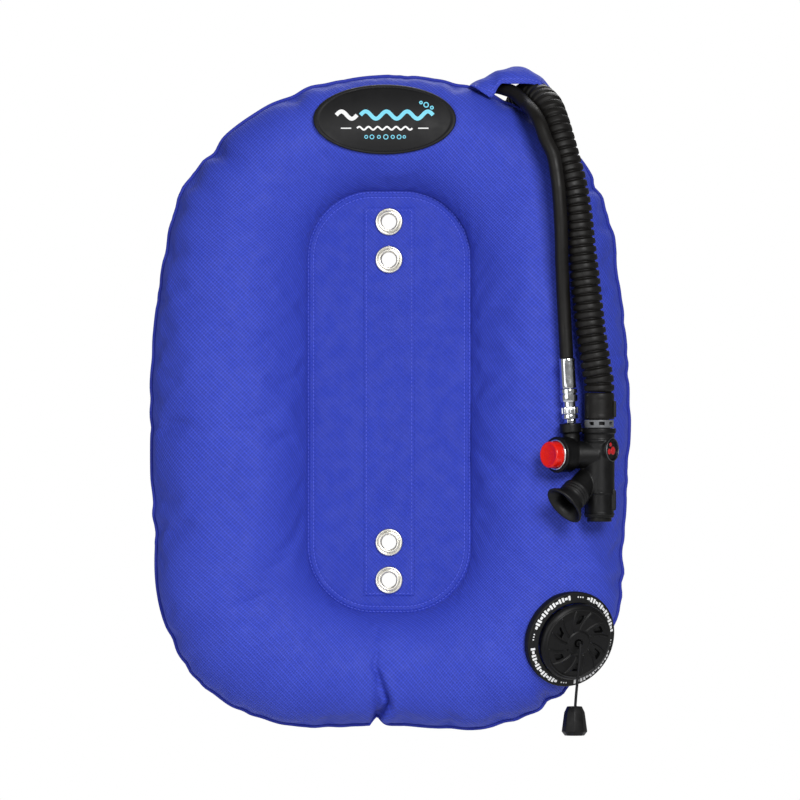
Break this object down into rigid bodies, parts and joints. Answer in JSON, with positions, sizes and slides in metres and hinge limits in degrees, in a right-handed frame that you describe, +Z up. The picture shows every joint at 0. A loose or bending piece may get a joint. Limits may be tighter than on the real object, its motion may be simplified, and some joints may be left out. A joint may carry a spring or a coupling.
{
  "type": "buoyancy compensator vest",
  "caption": "Donut-wing buoyancy compensator: inflatable fabric ring round a bolted centre panel, with shoulder inflator, supply hose and lower dump valve.",
  "frame": {"origin": "midway between the two eyelets of the upper bolt position, in the middle of the centre panel", "axes": "+Z up as worn, -Y the front that faces the wearer's backplate, +Y the tank side, +X towards the inflator"},
  "size_m": [0.4174, 0.1763, 0.5815],
  "materials": {
    "shell_nylon": "coated woven nylon, twill face",
    "binding_tape": "narrow woven tape",
    "braided_cord": "braided nylon cord",
    "bladder_film": "welded polyurethane film",
    "stiffener_sheet": "flexible plastic sheet",
    "nickel_plated_brass": "rolled, nickel plated",
    "patch_rubber": "moulded soft patch with a raised rim",
    "ring_rubber": "flexible printed ring",
    "hose_rubber": "satin extruded rubber",
    "mouth_silicone": "matt moulded silicone",
    "moulded_black": "fine spark-eroded moulding",
    "moulded_grey": "moulded, satin",
    "valve_black": "moulded, satin",
    "seal_silicone": "moulded seal",
    "red_button": "polished moulding",
    "emblem_enamel": "enamelled disc",
    "chromed_brass": "turned and chromed",
    "bare_brass": "turned",
    "spring_steel": "drawn wire",
    "seal_rubber": "nitrile o-ring",
    "zip_plastic": "moulded teeth"
  },
  "bodies": {
    "wing": {"shell_front": "shell_nylon", "shell_back": "shell_nylon", "bladder_front": "bladder_film", "bladder_back": "bladder_film", "edge_binding": "binding_tape", "panel_front": "shell_nylon", "panel_back": "shell_nylon", "panel_stiffener": "stiffener_sheet", "strip_front": "shell_nylon", "strip_back": "shell_nylon", "eyelets": "nickel_plated_brass", "eyelet_washers": "nickel_plated_brass", "oval_patch": "patch_rubber", "hose_hood": "shell_nylon", "elbow_flange": "moulded_black", "elbow_gasket": "seal_silicone", "elbow": "moulded_black", "elbow_lock_ring": "moulded_grey", "elbow_hose_tie": "moulded_black", "corrugated_hose_upper": "hose_rubber", "lp_hose_upper": "hose_rubber", "stage_ferrule": "chromed_brass", "stage_fitting": "chromed_brass", "stage_o_ring": "seal_rubber", "dump_base": "valve_black", "dump_gasket": "seal_silicone", "dump_ring": "ring_rubber", "dump_cap": "valve_black", "dump_spring": "spring_steel", "zip_tape": "binding_tape", "zip_teeth": "zip_plastic", "zip_stops": "zip_plastic"},
    "inflator": {"corrugated_hose_lower": "hose_rubber", "hose_cuff": "hose_rubber", "cuff_ring": "moulded_grey", "inflator_body": "moulded_black", "lp_nipple": "chromed_brass", "button_bezel": "chromed_brass", "inflate_spring": "spring_steel", "deflate_spring": "spring_steel", "mouthpiece": "mouth_silicone", "emblem_disc": "emblem_enamel", "emblem_rim": "chromed_brass", "lp_hose_lower": "hose_rubber", "lp_ferrule": "chromed_brass", "qd_body": "chromed_brass", "qd_ring": "chromed_brass"},
    "inflate_button": {"inflate_button": "red_button", "inflate_valve": "bare_brass"},
    "deflate_button": {"deflate_button": "moulded_black", "exhaust_disc": "seal_silicone"},
    "quick_release": {"qd_sleeve": "chromed_brass"},
    "dump_pull": {"dump_disc": "seal_silicone", "pull_cord": "braided_cord", "pull_knob": "valve_black"},
    "zip_slider": {"zip_slider": "chromed_brass"},
    "zip_pull": {"zip_pull": "chromed_brass"}
  },
  "joints": [
    {"name": "hose_swing", "type": "hinge", "parent": "wing", "child": "inflator", "pos_m": [0.15, -0.03, 0.2395], "axis": [-1, 0, 0], "range_deg": [0, 50]},
    {"name": "inflate_button_press", "type": "slide", "parent": "inflator", "child": "inflate_button", "axis": [0.7431, 0.6691, 0], "range_m": [0, 0.004], "stiffness_N_per_m": 900, "springref_m": -0.004, "deforming": ["inflate_spring"]},
    {"name": "deflate_button_press", "type": "slide", "parent": "inflator", "child": "deflate_button", "axis": [0, 0, 1], "range_m": [0, 0.003], "stiffness_N_per_m": 900, "springref_m": -0.004, "deforming": ["deflate_spring"]},
    {"name": "quick_release_pull", "type": "slide", "parent": "inflator", "child": "quick_release", "axis": [-0.0541, 0, 0.9985], "range_m": [0, 0.004], "stiffness_N_per_m": 700, "springref_m": -0.004},
    {"name": "dump_pull_out", "type": "slide", "parent": "wing", "child": "dump_pull", "axis": [0.458, -0.8519, -0.254], "range_m": [0, 0.005], "stiffness_N_per_m": 600, "springref_m": -0.006, "deforming": ["dump_spring"]},
    {"name": "zip_slide", "type": "slide", "parent": "wing", "child": "zip_slider", "axis": [0, 0, -1], "range_m": [0, 0.24]},
    {"name": "zip_pull_swing", "type": "hinge", "parent": "zip_slider", "child": "zip_pull", "pos_m": [0.045, 0.0091, 0.112], "axis": [1, 0, 0], "range_deg": [0, 120]}
  ]
}
